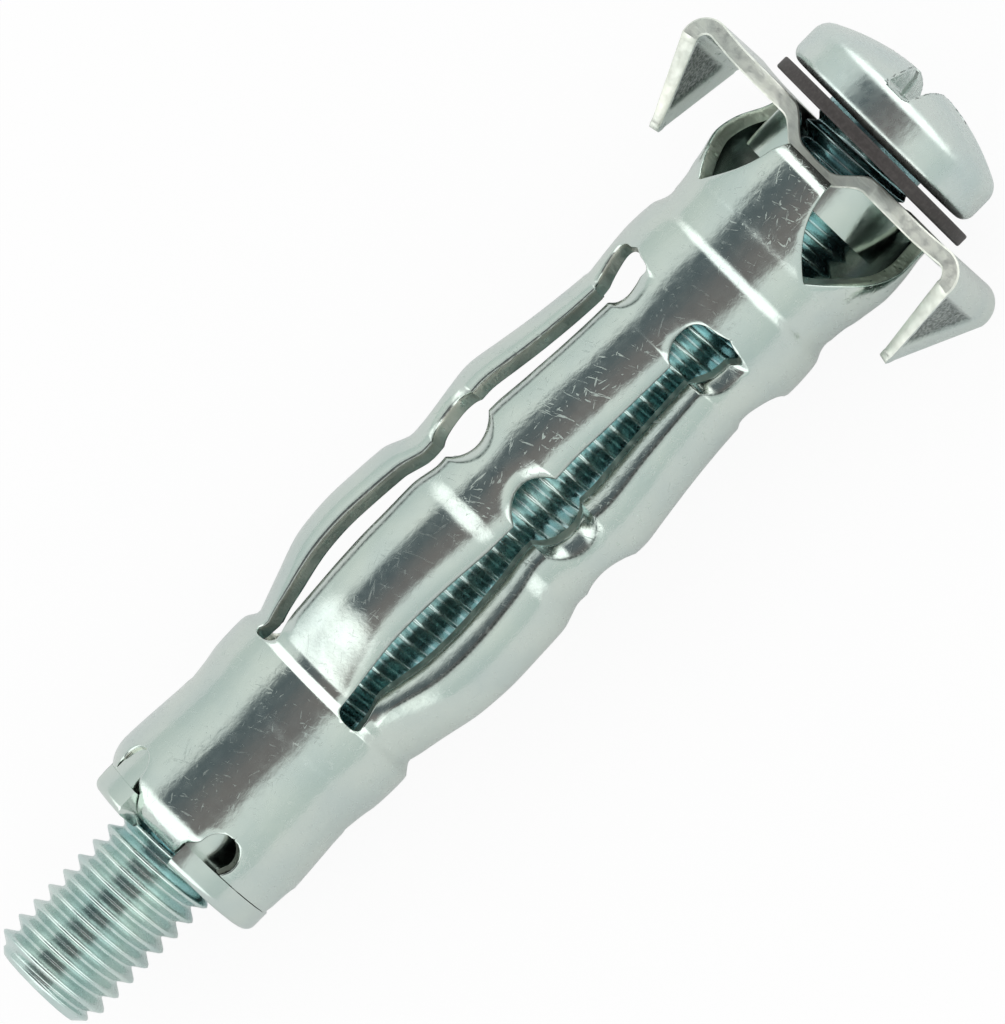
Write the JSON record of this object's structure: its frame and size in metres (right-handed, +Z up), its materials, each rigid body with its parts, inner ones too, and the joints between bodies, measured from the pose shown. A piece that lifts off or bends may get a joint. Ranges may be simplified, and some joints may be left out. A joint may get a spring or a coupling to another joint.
{
  "type": "hollow wall anchor",
  "caption": "Metal cavity-wall anchor: slotted folding sleeve with end nut, claw plate, washer and pan-head machine screw, lying on its side.",
  "frame": {"origin": "on the floor under the middle of the lying anchor, below its axis", "axes": "+X along the anchor's axis from the screw's tip to its head, +Z up from the floor it lies on"},
  "size_m": [0.0481, 0.015, 0.0101],
  "materials": {
    "sleeve_zinc": "bright zinc plate, glossy, fine scratches",
    "nut_zinc": "bright zinc plate",
    "claw_zinc": "bright zinc plate with grey sheared edges",
    "washer_fibre": "matt, dark grey-brown",
    "screw_zinc": "bright zinc plate, slightly blue"
  },
  "bodies": {
    "anchor_body": {"expansion_sleeve": "sleeve_zinc", "threaded_nut": "nut_zinc", "claw_plate": "claw_zinc"},
    "washer_body": {"washer": "washer_fibre"},
    "screw_body": {"machine_screw": "screw_zinc"}
  },
  "joints": [
    {"name": "screw_travel", "type": "slide", "parent": "anchor_body", "child": "washer_body", "axis": [1, 0, 0], "range_m": [-0.0003, 0.01]},
    {"name": "screw_turn", "type": "hinge", "parent": "washer_body", "child": "screw_body", "pos_m": [0, 0, 0.00484], "axis": [1, 0, 0], "range_deg": [-136, 4502]}
  ],
  "couplings": [
    {"joint": "screw_turn", "follows": "screw_travel", "rad_per_m": 7854}
  ]
}
